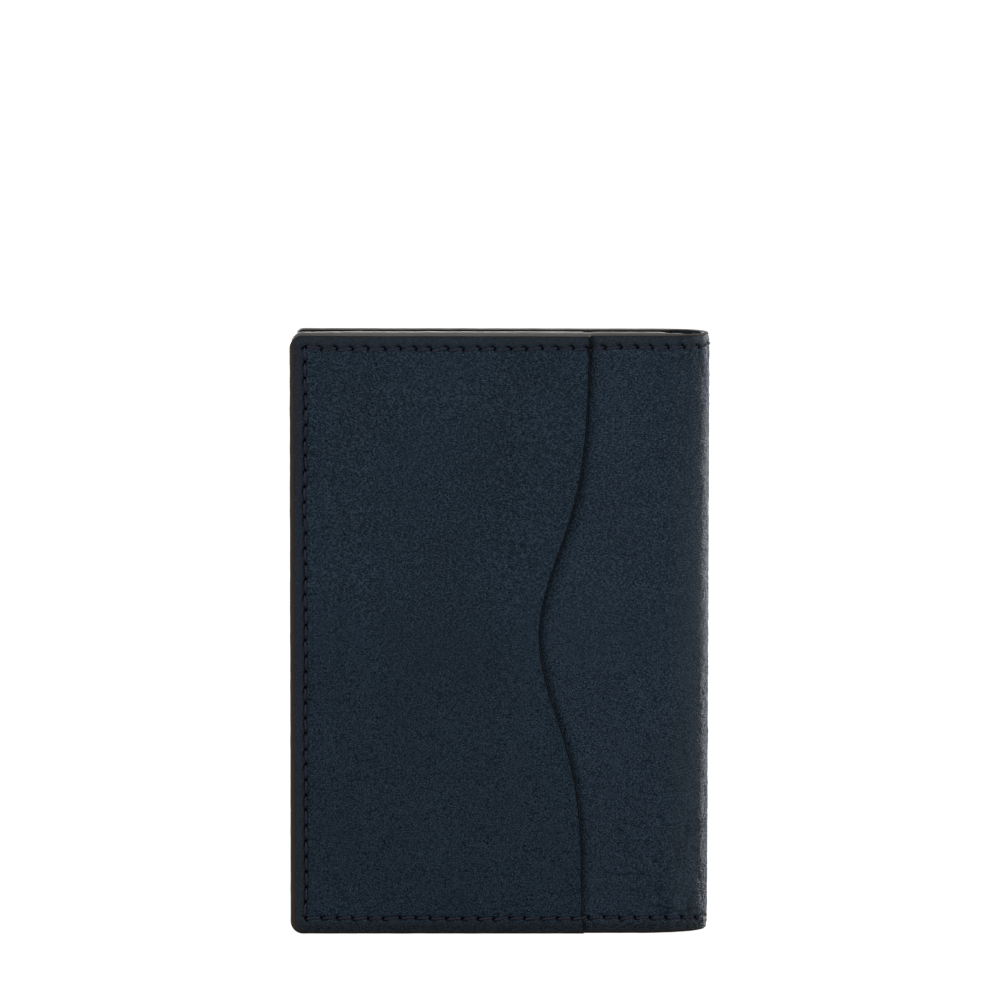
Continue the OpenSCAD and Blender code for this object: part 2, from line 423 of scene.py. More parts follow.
def hide_grid(side, s_lines, z_lines, end=None):
    """A grid of s and z inside the leaf's outline. Its last line is bent to an end curve, if given."""
    s, z = np.meshgrid(s_lines, z_lines, indexing="ij")
    low_z, high_z = bottom_edge(s, side), top_edge(s, side)
    radius = CORNER_R[side]
    from_side = np.clip(radius - (s - EDGE_BULGE), 0, radius)
    round_off = radius - np.sqrt(np.maximum(radius**2 - from_side**2, 0))
    low_z, high_z = low_z + round_off, high_z - round_off
    z = np.clip(z, EDGE_BULGE, HEIGHT - EDGE_BULGE)
    z = z + drawn_in(z - EDGE_BULGE, low_z - EDGE_BULGE)
    z = z - drawn_in(HEIGHT - EDGE_BULGE - z, HEIGHT - EDGE_BULGE - high_z)
    if end is not None:
        last = s_lines[-1]
        share = smooth((s - 0.45 * last) / (0.55 * last))
        s = s + (end(z) - last) * share
    return s, z


def corner_lines(side):
    """s positions that keep the round corners round."""
    return [EDGE_BULGE + CORNER_R[side] * (1 - math.cos(a)) for a in np.linspace(0, math.pi / 2, 9)]


def row_z_lines():
    """z positions round the top and bottom rows of stitches."""
    return [row + a for row in (BOTTOM_ROW, TOP_ROW) for a in ROW_LINES]


def seam_z_lines(seam, columns, spacing=0.9 * MM):
    ends = [EDGE_BULGE, EDGE_BULGE + 0.2 * MM, EDGE_BULGE + 0.5 * MM, EDGE_BULGE + 0.9 * MM]
    ends += [HEIGHT - e for e in ends]
    needles = [c + a for c in seam.column[1:-1] for a in NEEDLE_LINES] if columns else []
    return grid_lines(EDGE_BULGE, HEIGHT - EDGE_BULGE, ends + row_z_lines() + needles, spacing)


def seam_s_lines(seam, first, last, side, fine_from=0.0, column=True):
    needles = [c + a for c in seam.row for a in NEEDLE_LINES if c > fine_from]
    sides = (corner_lines(side) + [COLUMN + a for a in ROW_LINES]) if column else []
    return grid_lines(first, last, sides + needles, 0.7 * MM)


# ---- Leather pieces ----


def make_outer_pocket():
    seam = SEAM[BACK]
    s_lines = seam_s_lines(seam, EDGE_BULGE, OUTER_MOUTH, BACK)
    s, z = hide_grid(BACK, s_lines, seam_z_lines(seam, True), outer_mouth)
    face = pocket_face(s, z)
    lost, dark = seam.dips(s, z, lambda hs, hz: hs < OUTER_MOUTH + 0.3 * MM)
    inner = np.maximum(face - POCKET_T, FOLD_R - 0.02 * MM - margin_slope(s, z))
    inner = np.minimum(inner, face - 0.3 * MM)
    outer = np.maximum(face - lost, inner + 0.03 * MM)
    return shell("pocket_outer", s, z, outer, inner, BACK, (dark, 0 * dark))


def make_cover(side):
    seam = SEAM[side]
    column = side == FRONT
    last = FOLD_MIDDLE[side]
    fine_from = 0 if column else 36 * MM
    s_lines = seam_s_lines(seam, EDGE_BULGE, last, side, fine_from, column)
    round_lines = grid_lines(FLAT[side] - 10 * MM, last, [], 0.25 * MM)
    s_lines = grid_lines(EDGE_BULGE, last, list(s_lines) + list(round_lines), 0.9 * MM)
    if not column:                       # coarse under the outer pocket
        fine = [v for v in s_lines if v > fine_from]
        s_lines = grid_lines(EDGE_BULGE, last, corner_lines(side) + fine, 2.5 * MM)
    s, z = hide_grid(side, s_lines, seam_z_lines(seam, column, 0.4 * MM))
    face = cover_face(s, z, side, column)
    lost, dark = seam.dips(s, z, None if column else lambda hs, hz: hs > OUTER_MOUTH - 1.5 * MM)
    inner = np.full_like(s, COVER_IN)
    outer = np.maximum(face - lost, inner + 0.05 * MM)
    # painted shade in the creases by the fold
    shade = 0.35 * np.clip(creases(s, z, side) / (0.14 * MM), 0, 1)
    if side == BACK:                     # painted shadow on the cover beside the outer pocket's mouth, stronger towards the top
        mouth_shadow = np.exp(-(((s - outer_mouth(z)) / (0.5 * MM)) ** 2))
        shade = np.maximum(shade, 0.6 * (0.3 + 0.7 * z / HEIGHT) * mouth_shadow)
    return shell("cover_" + NAMES[side], s, z, outer, inner, side, (np.maximum(dark, shade), 0 * dark))


def make_lining(side):
    last = FOLD_MIDDLE[side]
    z_lines = grid_lines(EDGE_BULGE, HEIGHT - EDGE_BULGE, row_z_lines(), 1.0 * MM)
    fine = grid_lines(SLIP_MOUTH - 4 * MM, last, [], 0.35 * MM)
    s_lines = grid_lines(EDGE_BULGE, last, corner_lines(side) + list(fine), 2.5 * MM)
    s, z = hide_grid(side, s_lines, z_lines)
    buckle = smooth((s - FLAT[side] + 3 * MM) / (5 * MM))
    buckle = buckle * 0.10 * MM * (noise(s / (1.1 * MM), z / (9 * MM), 21 + side) + 0.6)
    inner = lining_face(s, z, side) - np.maximum(buckle, 0)
    lost, dark = SEAM[side].dips(s, z, lambda hs, hz: hs > SLIP_MOUTH)
    outer = np.full_like(s, COVER_IN - 0.01 * MM)
    inner = np.minimum(inner + lost, outer - 0.05 * MM)
    return shell("lining_" + NAMES[side], s, z, outer, inner, side, (0 * dark, dark))


def make_slip_pocket(side):
    seam = SEAM[side]
    z_lines = seam_z_lines(seam, False)
    s_lines = seam_s_lines(seam, EDGE_BULGE, SLIP_MOUTH, side, CARD_MOUTH - 11 * MM, False)
    s_lines = grid_lines(EDGE_BULGE, SLIP_MOUTH, corner_lines(side) + list(s_lines), 2.0 * MM)
    s, z = hide_grid(side, s_lines, z_lines)
    lost, dark = seam.dips(s, z, lambda hs, hz: CARD_MOUTH - 1 * MM < hs < SLIP_MOUTH + 0.3 * MM)
    inner = slip_face(s, z, side)
    outer = inner + (SLIP_OUT - SLIP_IN)
    inner = np.minimum(inner + lost, outer - 0.03 * MM)
    return shell("slip_pocket_" + NAMES[side], s, z, outer, inner, side, (0 * dark, dark))


def make_card_pocket(side):
    seam = SEAM[side]
    s_lines = seam_s_lines(seam, EDGE_BULGE, CARD_MOUTH, side)
    s, z = hide_grid(side, s_lines, seam_z_lines(seam, True), card_mouth)
    lost, dark = seam.dips(s, z, lambda hs, hz: hs < CARD_MOUTH + 0.3 * MM)
    inner = card_face(s, z, side)
    outer = inner + (CARD_OUT - CARD_IN)
    inner = np.minimum(inner + lost, outer - 0.03 * MM)
    return shell("card_pocket_" + NAMES[side], s, z, outer, inner, side, (0 * dark, dark))


# ---- Painted edges ----


def coat(name, path_s, path_z, out_s, out_z, d_in, d_out, bulge, lap, side, top_fall=0.0, crown=0.0):
    """A strip of edge paint along a path: round at its two corners, with a thin lap on each face."""
    wobble = 1 + 0.10 * noise(path_s / (3 * MM) + path_z / (2.3 * MM), path_z / (5 * MM), 31)
    on_top = np.clip(out_z, 0, 1)
    reach = bulge * wobble
    corner = np.minimum(reach * (1 - 0.6 * on_top), 0.45 * (d_out - d_in))
    fall = top_fall * on_top
    offsets, depths = [], []

    def ring(offset, depth):
        offsets.append(np.broadcast_to(offset, path_s.shape))
        depths.append(depth)

    turn = np.linspace(0, math.pi / 2, 7)
    ring(-lap, d_out - FILM)
    ring(-lap * 0.92, d_out + 0.6 * FILM)
    ring(-lap * 0.5, d_out + FILM)
    for a in turn:
        ring(reach - fall - corner * (1 - math.sin(a)), d_out + FILM - corner * (1 - math.cos(a)))
    for t in np.linspace(0, 1, 9)[1:-1]:
        arch = crown * on_top * (1 - (2 * t - 1) ** 2)
        arch += 0.03 * MM * (1 - on_top) * math.sin(math.pi * t)
        ring(reach - fall * (1 - t) + arch, (d_out - corner) * (1 - t) + (d_in + corner) * t)
    for a in turn[::-1]:
        ring(reach - corner * (1 - math.sin(a)), d_in - FILM + corner * (1 - math.cos(a)))
    ring(-lap * 0.5, d_in - FILM)
    ring(-lap * 0.92, d_in - 0.6 * FILM)
    ring(-lap, d_in + FILM)
    o, d = np.stack(offsets, -1), np.stack(depths, -1)
    s, z = path_s[:, None] + out_s[:, None] * o, path_z[:, None] + out_z[:, None] * o
    rows, columns = s.shape
    points = on_hide(s, z, d, side).reshape(-1, 3)
    hide = np.stack([s, z, d], -1).reshape(-1, 3)
    faces = [tuple(f) for f in grid_faces(rows, columns)]
    for i in range(rows - 1):                      # the underside, inside the leather
        a = i * columns
        faces.append((a + columns - 1, a + 2 * columns - 1, a + columns, a))
    faces.append(tuple(range(columns - 1, -1, -1)))
    faces.append(tuple((rows - 1) * columns + k for k in range(columns)))
    if side == FRONT:
        faces = [f[::-1] for f in faces]
    return new_mesh(name, points, faces, hide, np.zeros(rows * columns), 50)


def leaf_outline(side):
    """Points and outward directions round a leaf's sewn edges: top from the fold, open side, bottom."""
    middle = FOLD_MIDDLE[side]
    radius = CORNER_R[side]
    steps = [outer_mouth(z) + a * MM for z in (0, HEIGHT) for a in (-0.15, 0, 0.15)]
    along = grid_lines(EDGE_BULGE + radius, middle, steps if side == BACK else [], 0.6 * MM)
    turn = np.linspace(0, math.pi / 2, 10)[1:]
    flat_top = top_edge(EDGE_BULGE, side)
    flat_bottom = bottom_edge(EDGE_BULGE, side)
    down = grid_lines(flat_bottom + radius, flat_top - radius, [], 0.8 * MM)[::-1]
    sin, cos = np.sin(turn), np.cos(turn)
    centre_s = EDGE_BULGE + radius
    stretches = (
        (along[::-1], top_edge(along[::-1], side), 0.0, 1.0),
        (centre_s - radius * sin, flat_top - radius + radius * cos, -sin, cos),
        (np.full(len(down) - 1, EDGE_BULGE), down[1:], -1.0, 0.0),
        (centre_s - radius * cos, flat_bottom + radius - radius * sin, -cos, -sin),
        (along[1:], bottom_edge(along[1:], side), 0.0, -1.0),
    )
    return np.concatenate([np.stack(np.broadcast_arrays(*stretch)) for stretch in stretches], axis=1)


def make_edge_coat(side):
    s, z, out_s, out_z = leaf_outline(side)
    outside = cover_face(s, z, side, side == FRONT)
    if side == BACK:
        mouth = outer_mouth(z)
        on_pocket = smooth((mouth + 0.15 * MM - s) / (0.3 * MM))
        outside += (pocket_face(np.minimum(s, mouth - 0.2 * MM), z) - outside) * on_pocket
    card = card_face(np.minimum(s, CARD_MOUTH - 1 * MM), z, side)
    slip = slip_face(np.minimum(s, SLIP_MOUTH - 1 * MM), z, side)
    inside = card + (slip - card) * smooth((s - CARD_MOUTH + 0.5 * MM) / (0.9 * MM))
    inside = inside + (lining_face(s, z, side) - inside) * smooth((s - SLIP_MOUTH + 0.5 * MM) / (0.9 * MM))
    on_top = np.clip(out_z, 0, 1)
    if side == FRONT:                    # the pockets are cut short along the top
        inside += (np.maximum(inside, FRONT_TOP_IN) - inside) * on_top
    by_fold = smooth((s - SLIP_MOUTH + 1 * MM) / (6 * MM))
    bulge = EDGE_BULGE * (1 - 0.35 * by_fold) * (1 - 0.3 * on_top)
    lap = 0.45 * MM * (1 - 0.7 * np.maximum(-out_z, 0) - 0.9 * on_top)
    return coat(
        "edge_paint_" + NAMES[side],
        s, z, out_s, out_z, inside, outside, bulge, lap, side, TOP_FALL[side], CROWN[side],
    )


def make_mouth_coat(name, mouth, face, thickness, side, lap):
    """Paint on a pocket's cut mouth. Thickness goes from the visible face to the hidden one."""
    z = grid_lines(EDGE_BULGE + 0.3 * MM, HEIGHT - EDGE_BULGE - 0.3 * MM, [], 0.7 * MM)
    s = mouth(z)
    slope = np.gradient(s, z)
    length = np.sqrt(1 + slope**2)
    inset = 0.10 * MM
    d = face(s, z)
    d_in, d_out = np.minimum(d, d + thickness), np.maximum(d, d + thickness)
    out_s, out_z = 1 / length, -slope / length
    return coat(name, s - inset * out_s, z - inset * out_z, out_s, out_z, d_in, d_out, inset, lap, side)


# ---- Thread ----


def thread(name, side, jobs):
    """Stitches as plied thread. Each job is a pair of holes, a face and the way out of the leather."""
    sides, rings = 10, 15
    t = np.linspace(0, 1, rings)
    around = np.linspace(0, 2 * math.pi, sides, endpoint=False)
    points, faces, hide = [], [], []
    for (s0, z0, c0, w0), (s1, z1, c1, w1), face, outwards in jobs:
        a = np.array([s0 + c0 * LEAVE, z0 + w0 * LEAVE])
        b = np.array([s1 - c1 * ENTER, z1 - w1 * ENTER])
        line = a + (b - a) * t[:, None]
        length = np.linalg.norm(b - a)
        arch = 1 - np.abs(2 * t - 1) ** 5
        depth = face(line[:, 0], line[:, 1]) + outwards * (-STITCH_SUNK + STITCH_ARCH * arch)
        centre = on_hide(line[:, 0], line[:, 1], depth, side)
        raised = on_hide(line[:, 0], line[:, 1], depth + 0.1 * MM, side)
        out = (raised - centre) / (0.1 * MM)
        ahead = np.gradient(centre, axis=0)
        ahead /= np.linalg.norm(ahead, axis=1)[:, None]
        out -= ahead * np.sum(out * ahead, axis=1)[:, None]
        out /= np.linalg.norm(out, axis=1)[:, None]
        across = np.cross(ahead, out)
        twist = 2 * math.pi * length * t / PLY_LAY
        radius = THREAD_R * (0.92 + 0.10 * np.abs(np.cos(PLIES / 2 * (around[None, :] + twist[:, None]))))
        radius *= (0.75 + 0.25 * arch)[:, None]
        ring = centre[:, None, :] + radius[..., None] * (
            np.cos(around)[None, :, None] * across[:, None, :] * 1.05
            + np.sin(around)[None, :, None] * out[:, None, :] * 0.9
        )
        start = len(points) * rings * sides
        points.append(ring.reshape(-1, 3))
        along_s, along_z = np.repeat(line, sides, axis=0).T
        hide.append(np.stack([along_s, along_z, np.tile(around, rings) * MM], -1))
        for i in range(rings - 1):
            for k in range(sides):
                p, q = start + i * sides + k, start + i * sides + (k + 1) % sides
                faces.append((p, q, q + sides, p + sides))
        faces.append(tuple(start + k for k in range(sides - 1, -1, -1)))
        faces.append(tuple(start + (rings - 1) * sides + k for k in range(sides)))
    points, hide = np.concatenate(points), np.concatenate(hide)
    return new_mesh(name, points, faces, hide, np.zeros(len(points)), 80)


def make_thread(side):
    holes = SEAM[side].holes
    last = holes[-1][0]
    over = 2 * FOLD_MIDDLE[side] - last
    jobs = []

    def outside(s, z):
        return outside_face(s, z, side)

    def inside(s, z):
        return inside_face(s, z, side)

    for a, b in zip(holes[:-1], holes[1:]):
        # A stitch leaves each slit at the end nearer the next one.
        step = np.array([b[0] - a[0], b[1] - a[1]])
        turn_a = 1 if step @ np.array(a[2:]) > 0 else -1
        turn_b = 1 if step @ np.array(b[2:]) > 0 else -1
        first = (a[0], a[1], a[2] * turn_a, a[3] * turn_a)
        second = (b[0], b[1], b[2] * turn_b, b[3] * turn_b)
        jobs.append((first, second, outside, 1))
        jobs.append((first, second, inside, -1))
    if side == BACK:                     # the stitches over the fold's middle
        for row in (holes[0], holes[-1]):
            start = (row[0], row[1], 1.0, -0.4)
            finish = (over, row[1], 1.0, -0.4)
            jobs.append((start, finish, outside, 1))
            jobs.append((start, finish, inside, -1))
    return thread("thread_" + NAMES[side], side, jobs)


# ---- Materials ----


class Nodes:
    """A material's node tree, with short ways to add and join nodes."""

    def __init__(self, name):
        self.material = bpy.data.materials.new(name)
        self.material.use_nodes = True
        self.tree = self.material.node_tree
        self.shader = self.tree.nodes["Principled BSDF"]

    def add(self, kind, **settings):
        node = self.tree.nodes.new(kind)
        for key, value in settings.items():
            if hasattr(node, key):
                setattr(node, key, value)
            else:
                node.inputs[key.replace("_", " ")].default_value = value
        return node

    def join(self, source, target):
        self.tree.links.new(source, target)

    def math(self, operation, a, b=0.0, c=0.0, clamp=False):
        node = self.add("ShaderNodeMath", operation=operation, use_clamp=clamp)
        for socket, value in zip(node.inputs, (a, b, c)):
            if isinstance(value, (int, float)):
                socket.default_value = value
            else:
                self.join(value, socket)
        return node.outputs[0]

    def mix(self, factor, a, b):
        node = self.add("ShaderNodeMix", data_type="RGBA")
        for socket, value in ((node.inputs[0], factor), (node.inputs[6], a), (node.inputs[7], b)):
            if isinstance(value, (int, float)):
                socket.default_value = value
            elif isinstance(value, tuple):
                socket.default_value = (*value, 1)
            else:
                self.join(value, socket)
        return node.outputs[2]

    def invert(self, value):
        """1 less the value."""
        return self.math("SUBTRACT", 1.0, value)

    def hide(self):
        """The mesh's hide coordinates: s, z and depth."""
        node = self.add("ShaderNodeAttribute")
        node.attribute_name = "hide"
        return node.outputs["Vector"]

    def split(self, vector):
        node = self.add("ShaderNodeSeparateXYZ")
        self.join(vector, node.inputs[0])
        return node.outputs["X"], node.outputs["Y"]

    def scaled(self, vector, scale):
        node = self.add("ShaderNodeVectorMath", operation="MULTIPLY")
        self.join(vector, node.inputs[0])
        node.inputs[1].default_value = scale
        return node.outputs[0]

    def bump(self, height, strength, distance):
        node = self.add("ShaderNodeBump", Strength=strength, Distance=distance)
        self.join(height, node.inputs["Height"])
        self.join(node.outputs[0], self.shader.inputs["Normal"])

    def dark(self):
        """The 'dark' attribute: 1 in a needle slit and less in the creases by the fold and beside the outer
        pocket's mouth. It is painted shade, near black and without shine.
        """
        node = self.add("ShaderNodeAttribute")
        node.attribute_name = "dark"
        return node.outputs["Fac"]

    def noise(self, vector, scale, detail=2.0, rough=0.5):
        node = self.add("ShaderNodeTexNoise", Scale=scale, Detail=detail, Roughness=rough)
        self.join(vector, node.inputs["Vector"])
        return node.outputs["Fac"]

    def ramp(self, value, low_value, high_value):
        node = self.add("ShaderNodeMapRange", clamp=True)
        self.join(value, node.inputs["Value"])
        node.inputs["From Min"].default_value = low_value
        node.inputs["From Max"].default_value = high_value
        return node.outputs[0]


FOLD_SHEEN_TONE = (0.0440, 0.0600, 0.0760)      # painted sheen on the leather round the fold
MARGIN_TONE = (0.0260, 0.0295, 0.0360)      # leather that is pressed smooth by the edge
# near-black painted shade, for the needle slits, the creases by the fold and beside the outer pocket's
# mouth
PAINTED_SHADE_TONE = (0.0004, 0.0003, 0.0006)
LEATHER_ROUGH = 0.42
SHARP_SHINE = 1.5                           # how strongly the shine keeps to the top of the grain


def times(colour, factor):
    return tuple(c * factor for c in colour)


def grain_pattern(n, hide, s, z, scale, slow):
    """0 in the grain's pits and creases and 1 on top: pebbled in the upper half, creased in the lower."""
    flat = n.scaled(hide, (0.9, 1.3, 1.0))
    pits = n.add("ShaderNodeTexVoronoi", Scale=scale)
    n.join(flat, pits.inputs["Vector"])
    pitted = n.ramp(pits.outputs["Distance"], 0.24, 0.78)
    cells = n.add("ShaderNodeTexVoronoi", feature="DISTANCE_TO_EDGE", Scale=scale * 0.85)
    n.join(flat, cells.inputs["Vector"])
    creased = n.ramp(cells.outputs["Distance"], 0.02, 0.24)
    fine = n.ramp(n.noise(flat, scale * 1.45, 2.0, 0.65), 0.32, 0.68)
    uneven = n.math("SUBTRACT", slow, 0.5)
    upper = n.math("ADD", n.ramp(z, 44 * MM, 60 * MM), uneven, clamp=True)
    skin = n.mix(upper, creased, pitted)
    return n.math("ADD", n.math("MULTIPLY", skin, 0.5), n.math("MULTIPLY", fine, 0.5))


def leather(name, base, scale, contrast, gloss, outside=True):
    """Grained leather with slow changes of tone. The outside has margins, wrinkles with painted shade in
    them, painted shade along the bottom, and a glossier fold with painted sheen too.
    """
    n = Nodes(name)
    hide = n.hide()
    s, z = n.split(hide)
    slow = n.noise(hide, 60.0, 3.0)
    grains = grain_pattern(n, hide, s, z, scale, slow)
    sharpness = SHARP_SHINE
    if outside:
        grains = n.math("MULTIPLY", grains, wrinkles(n, hide, s, z))
        margin = margins(n, s, z)
        towards_even = n.math("SUBTRACT", 0.55, grains)
        grains = n.math("MULTIPLY_ADD", towards_even, n.math("MULTIPLY", margin, 0.5), grains)
        near_top = n.ramp(z, 62 * MM, 99 * MM)
        round_fold = n.ramp(s, FLAT[BACK] + 1.5 * MM, FLAT[BACK] + 5.5 * MM)
        matt = n.math("MULTIPLY", n.math("MULTIPLY", round_fold, near_top), 0.26)
        round_fold = n.math("MULTIPLY", round_fold, n.math("MULTIPLY_ADD", near_top, -0.8, 1.0))
        gloss = n.math("MULTIPLY_ADD", round_fold, gloss * 5, gloss * 2)
        sharpness = n.math("MULTIPLY_ADD", round_fold, 3.0, SHARP_SHINE)
        relief = n.math("MULTIPLY_ADD", round_fold, 1.6, 1.0)

    height = n.math("ADD", grains, n.math("MULTIPLY", n.noise(hide, 420.0, 2.0), 0.6))
    n.bump(n.math("MULTIPLY", height, relief) if outside else height, 1.0, 0.00005 * contrast)

    valley = times(base, max(1 - 0.62 * contrast, 0.05))
    tone = n.mix(grains, valley, times(base, 1 + 0.75 * contrast))
    tone = n.mix(n.math("MULTIPLY", n.ramp(slow, 0.35, 0.65), 0.16), tone, valley)
    if outside:
        # painted shade: darker below the bottom row of stitches, where the face turns down from the light
        bottom_shade = n.invert(n.ramp(z, BOTTOM_ROW - 1.2 * MM, BOTTOM_ROW))
        tone = n.mix(n.math("MULTIPLY", bottom_shade, 0.5), tone, valley)
        # painted sheen: paler towards the fold, less near the top
        fold_sheen = n.ramp(s, FLAT[BACK] - 3.5 * MM, FLAT[BACK] + 2.5 * MM)
        fold_sheen = n.math("MULTIPLY", fold_sheen, n.math("MULTIPLY_ADD", near_top, -0.65, 1.0))
        tone = n.mix(n.math("MULTIPLY", fold_sheen, 0.62), tone, FOLD_SHEEN_TONE)
        tone = n.mix(n.math("MULTIPLY", margin, 0.55), tone, MARGIN_TONE)
    dark = n.dark()
    n.join(n.mix(dark, tone, PAINTED_SHADE_TONE), n.shader.inputs["Base Color"])

    shine = n.math("MULTIPLY", n.math("POWER", grains, sharpness), gloss)
    shine = n.math("MULTIPLY", shine, n.invert(dark), clamp=True)
    n.join(shine, n.shader.inputs["Specular IOR Level"])
    n.shader.inputs["Roughness"].default_value = LEATHER_ROUGH
    if outside:
        rough = n.math("MULTIPLY_ADD", round_fold, -0.10, LEATHER_ROUGH)
        n.join(n.math("ADD", rough, matt), n.shader.inputs["Roughness"])
    return n.material


def margins(n, s, z):
    """1 between the stitches and the edge, where the leather is pressed smooth, and 0 inside."""
    side = n.invert(n.ramp(s, COLUMN - 0.6 * MM, COLUMN + 0.4 * MM))
    bottom = n.invert(n.ramp(z, BOTTOM_ROW - 0.6 * MM, BOTTOM_ROW + 0.4 * MM))
    top = n.ramp(z, TOP_ROW - 0.4 * MM, TOP_ROW + 0.6 * MM)
    return n.math("MAXIMUM", side, n.math("MAXIMUM", top, n.math("MULTIPLY", bottom, 0.25)))


def wrinkles(n, hide, s, z):
    """1 on smooth leather and less in the wrinkles, which run across the fold near its lower end.
    Multiplied into the grain, it lowers the bump and paints shade into the wrinkle lines.
    """
    stretched = n.scaled(hide, (0.14, 1.0, 0.14))
    contour = n.math("ABSOLUTE", n.math("SUBTRACT", n.noise(stretched, 240.0, 3.0, 0.6), 0.5))
    line = n.invert(n.ramp(contour, 0.0, 0.009))
    by_fold = n.ramp(s, FLAT[BACK] - 16 * MM, FLAT[BACK] - 4 * MM)
    low_down = n.invert(n.ramp(z, 20 * MM, 30 * MM))
    where = n.math("MULTIPLY", by_fold, low_down)
    return n.invert(n.math("MULTIPLY", n.math("MULTIPLY", line, where), 0.6))


def edge_paint(name, base, rough, gloss):
    """Brushed-on edge paint: dark, semi-gloss and a little uneven, with a painted highlight that makes it
    paler down the open side.
    """
    n = Nodes(name)
    hide = n.hide()
    s = n.split(hide)[0]
    streak = n.noise(hide, 700.0, 3.0)
    fine = n.noise(hide, 3800.0, 2.0)
    n.bump(n.math("ADD", streak, n.math("MULTIPLY", fine, 0.35)), 0.25, 0.00018)
    tone = n.mix(n.ramp(streak, 0.3, 0.7), times(base, 0.7), times(base, 1.35))
    # painted highlight down the open side
    open_side_highlight = n.invert(n.ramp(s, -0.2 * MM, 1.4 * MM))
    tone = n.mix(open_side_highlight, tone, times(base, 3.6))
    n.join(tone, n.shader.inputs["Base Color"])
    n.join(n.math("ADD", n.math("MULTIPLY", streak, 0.2), rough - 0.1), n.shader.inputs["Roughness"])
    n.shader.inputs["Specular IOR Level"].default_value = gloss
    return n.material


def thread_material(name, base):
    """Waxed polyester sewing thread, with its fibres as fine streaks."""
    n = Nodes(name)
    hide = n.hide()
    fibre = n.noise(hide, 5200.0, 2.0)
    slow = n.noise(hide, 260.0, 2.0)
    n.bump(fibre, 0.3, 0.00006)
    tone = n.mix(n.ramp(fibre, 0.3, 0.7), times(base, 0.65), times(base, 1.3))
    tone = n.mix(n.math("MULTIPLY", n.ramp(slow, 0.4, 0.7), 0.35), tone, times(base, 1.7))
    n.join(tone, n.shader.inputs["Base Color"])
    n.join(n.math("ADD", n.math("MULTIPLY", fibre, 0.2), 0.42), n.shader.inputs["Roughness"])
    n.shader.inputs["Specular IOR Level"].default_value = 0.4
    n.shader.inputs["Sheen Weight"].default_value = 0.15
    return n.material


# ---- The object ----

NAMES = {BACK: "back", FRONT: "front"}
LEAF = {BACK: "back_leaf", FRONT: "front_leaf"}

COVER = leather("cover_leather", (0.0143, 0.0326, 0.0560), 2900.0, 1.75, 0.39)
POCKET = leather("pocket_leather", (0.0103, 0.0247, 0.0418), 3000.0, 2.3, 0.30)
LINING = leather("lining_leather", (0.0150, 0.0280, 0.0420), 3300.0, 0.6, 0.6, False)
PAINT = edge_paint("edge_paint", (0.0220, 0.0148, 0.0108), 0.34, 0.28)
# the mouths' edge paint with painted shade: far darker than the other edges, so each mouth reads as a
# shadow line
MOUTH_PAINT_AND_SHADE = edge_paint("mouth_paint_and_shade", (0.0040, 0.0030, 0.0027), 0.55, 0.15)
THREAD = thread_material("thread", (0.0150, 0.0110, 0.0370))


def bend_with_fold(piece, side):
    """The piece's transform is baked into its mesh, the same on either leaf; nothing here makes it follow
    the leaf or the spine.
    """
    if side == BACK:
        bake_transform(piece)
    else:
        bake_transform(piece)


def finish_piece(piece, material, side, bends, nodes=()):
    piece.data.materials.append(material)
    if bends:
        bend_with_fold(piece, side)
    else:
        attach(piece, LEAF[side])
    if nodes:
        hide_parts(*nodes)


def build_leaf(side):
    who = NAMES[side]

    def halves(kind):
        """The leaf's node of a kind, and on the back leaf the spine's too."""
        return [who + kind, "spine" + kind] if side == BACK else [who + kind]

    finish_piece(make_cover(side), COVER, side, True, halves("_cover"))
    finish_piece(make_lining(side), LINING, side, True, halves("_lining"))
    for pocket, kind in ((make_slip_pocket(side), "_slip"), (make_card_pocket(side), "_card")):
        nodes = (who + kind + "_pocket", who + kind + "_welt")
        finish_piece(pocket, POCKET, side, False, nodes)
    finish_piece(make_edge_coat(side), PAINT, side, True)
    finish_piece(make_thread(side), THREAD, side, True, halves("_thread"))
    for name, mouth, face, thickness in (
        ("slip", slip_mouth, lambda s, z: slip_face(s, z, side), SLIP_OUT - SLIP_IN),
        ("card", card_mouth, lambda s, z: card_face(s, z, side), CARD_OUT - CARD_IN),
    ):
        rim = make_mouth_coat(name + "_mouth_paint_and_shade_" + who, mouth, face, thickness, side, 0.22 * MM)
        finish_piece(rim, MOUTH_PAINT_AND_SHADE, side, False)


def build_outer_pocket():
    nodes = ("outer_pocket", "outer_pocket_welt")
    finish_piece(make_outer_pocket(), POCKET, BACK, False, nodes)
    rim = make_mouth_coat("outer_mouth_paint", outer_mouth, pocket_face, -POCKET_T, BACK, 0.13 * MM)
    finish_piece(rim, MOUTH_PAINT_AND_SHADE, BACK, False)


build_leaf(BACK)
build_leaf(FRONT)
build_outer_pocket()

# ---- Studio ----

SENSOR = 36.0
DISTANCE = 2.5                           # a long lens, a good way off
FRAME_WIDTH = 0.1711                     # what the frame takes in at the object
ELEVATION = math.radians(8.7)
AIM_ABOVE, AIM_RIGHT = 0.02242, 0.0001   # the object sits low in the frame
WORLD_FRONT, WORLD_BACK = 0.16, 0.55     # how bright the room is on the camera's side and behind
FLOOR_GLOW = 0.14                        # how bright the floor is to everything but the camera


def make_camera():
    centre = (Vector(cad_low) + Vector(cad_high)) / 2
    back = Vector((0, -math.cos(ELEVATION), math.sin(ELEVATION)))
    up = Vector((0, math.sin(ELEVATION), math.cos(ELEVATION)))
    data = bpy.data.cameras.new("camera")
    data.sensor_width = SENSOR
    data.lens = SENSOR * DISTANCE / FRAME_WIDTH
    data.clip_start, data.clip_end = 0.05, 50
    camera = bpy.data.objects.new("camera", data)
    camera.location = centre + up * AIM_ABOVE + Vector((AIM_RIGHT, 0, 0)) + back * DISTANCE
    camera.rotation_mode = "QUATERNION"
    camera.rotation_quaternion = (-back).to_track_quat("-Z", "Y")
    bpy.context.scene.collection.objects.link(camera)
    bpy.context.scene.camera = camera


